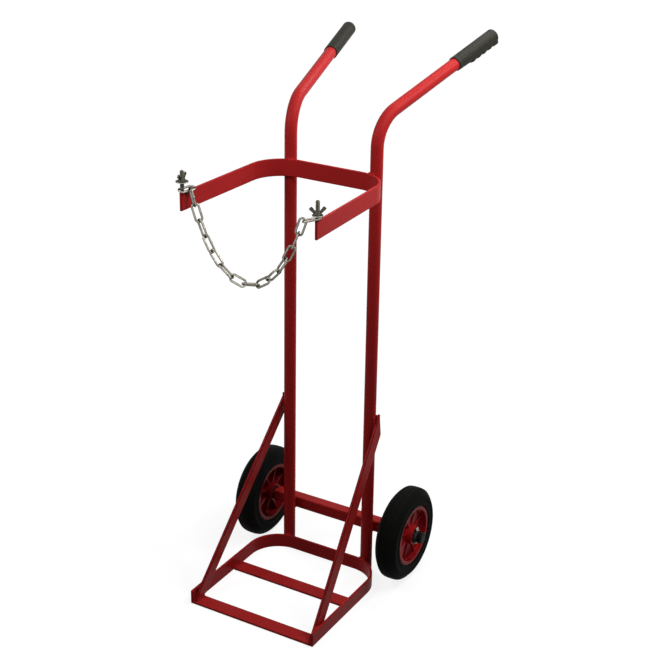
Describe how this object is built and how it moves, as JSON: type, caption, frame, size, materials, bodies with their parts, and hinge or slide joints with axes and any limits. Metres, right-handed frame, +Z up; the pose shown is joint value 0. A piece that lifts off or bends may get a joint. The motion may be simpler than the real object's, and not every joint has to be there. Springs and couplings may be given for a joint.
{
  "type": "gas cylinder trolley",
  "caption": "Two-wheeled hand trolley for a tall gas cylinder: tube frame, flat-bar base and cradle, retaining chain with wing nuts, swept-back handles with grips.",
  "frame": {"origin": "on the floor, under the middle of the trolley's bounding box", "axes": "+X to the right seen from the front (the chain side), +Y back towards the handles, +Z up"},
  "size_m": [0.4334, 0.6794, 1.1001],
  "materials": {
    "frame_paint": "bright red powder coat, slightly orange-peeled",
    "grip_rubber": "soft dark grey moulded plastic",
    "zinc_plate": "zinc-plated steel",
    "chain_zinc": "dull zinc-plated welded chain",
    "tyre_rubber": "black solid rubber",
    "wheel_plastic": "red moulded plastic",
    "axle_steel": "plain turned steel",
    "cap_plastic": "black push-on plastic"
  },
  "bodies": {
    "frame": {"left_upright": "frame_paint", "right_upright": "frame_paint", "left_brace": "frame_paint", "right_brace": "frame_paint", "upper_band": "frame_paint", "base_band": "frame_paint", "base_front_bar": "frame_paint", "base_middle_bar": "frame_paint", "axle_beam": "frame_paint", "left_grip": "grip_rubber", "right_grip": "grip_rubber", "left_stud": "zinc_plate", "right_stud": "zinc_plate", "left_inner_washer": "zinc_plate", "right_inner_washer": "zinc_plate", "left_outer_washer": "zinc_plate", "right_outer_washer": "zinc_plate", "left_split_pin": "zinc_plate", "right_split_pin": "zinc_plate", "chain_link_01": "chain_zinc", "chain_link_16": "chain_zinc", "axle_rod": "axle_steel", "left_axle_cap": "cap_plastic", "right_axle_cap": "cap_plastic"},
    "left_wheel": {"left_tyre": "tyre_rubber", "left_wheel_centre": "wheel_plastic", "left_bush": "axle_steel"},
    "right_wheel": {"right_tyre": "tyre_rubber", "right_wheel_centre": "wheel_plastic", "right_bush": "axle_steel"},
    "chain": {"chain_link_02": "chain_zinc", "chain_link_03": "chain_zinc", "chain_link_04": "chain_zinc", "chain_link_05": "chain_zinc", "chain_link_06": "chain_zinc", "chain_link_07": "chain_zinc", "chain_link_08": "chain_zinc", "chain_link_09": "chain_zinc", "chain_link_10": "chain_zinc", "chain_link_11": "chain_zinc", "chain_link_12": "chain_zinc", "chain_link_13": "chain_zinc", "chain_link_14": "chain_zinc", "chain_link_15": "chain_zinc"},
    "left_washer": {"left_stud_washer": "zinc_plate"},
    "left_nut": {"left_wing_nut": "zinc_plate"},
    "right_washer": {"right_stud_washer": "zinc_plate"},
    "right_nut": {"right_wing_nut": "zinc_plate"}
  },
  "joints": [
    {"name": "left_wheel_spin", "type": "hinge", "parent": "frame", "child": "left_wheel", "pos_m": [-0.1728, -0.00227, 0.1], "axis": [1, 0, 0], "continuous": true},
    {"name": "right_wheel_spin", "type": "hinge", "parent": "frame", "child": "right_wheel", "pos_m": [0.1728, -0.00227, 0.1], "axis": [1, 0, 0], "continuous": true},
    {"name": "chain_swing", "type": "hinge", "parent": "frame", "child": "chain", "pos_m": [-0.13406, -0.31156, 0.88783], "axis": [0.9976, -0.0621, -0.029], "range_deg": [-15, 15]},
    {"name": "left_nut_rise", "type": "slide", "parent": "frame", "child": "left_washer", "axis": [0, 0, 1], "range_m": [-0.00885, 0.0101]},
    {"name": "left_nut_turn", "type": "hinge", "parent": "left_washer", "child": "left_nut", "pos_m": [-0.1432, -0.32347, 0.881], "axis": [0, 0, 1], "range_deg": [-2520, 2880]},
    {"name": "right_nut_rise", "type": "slide", "parent": "frame", "child": "right_washer", "axis": [0, 0, 1], "range_m": [0, 0.0176]},
    {"name": "right_nut_turn", "type": "hinge", "parent": "right_washer", "child": "right_nut", "pos_m": [0.1432, -0.32347, 0.881], "axis": [0, 0, 1], "range_deg": [0, 5040]}
  ],
  "couplings": [
    {"joint": "left_nut_rise", "follows": "left_nut_turn", "m_per_rad": 0.00019894},
    {"joint": "right_nut_rise", "follows": "right_nut_turn", "m_per_rad": 0.00019894}
  ]
}
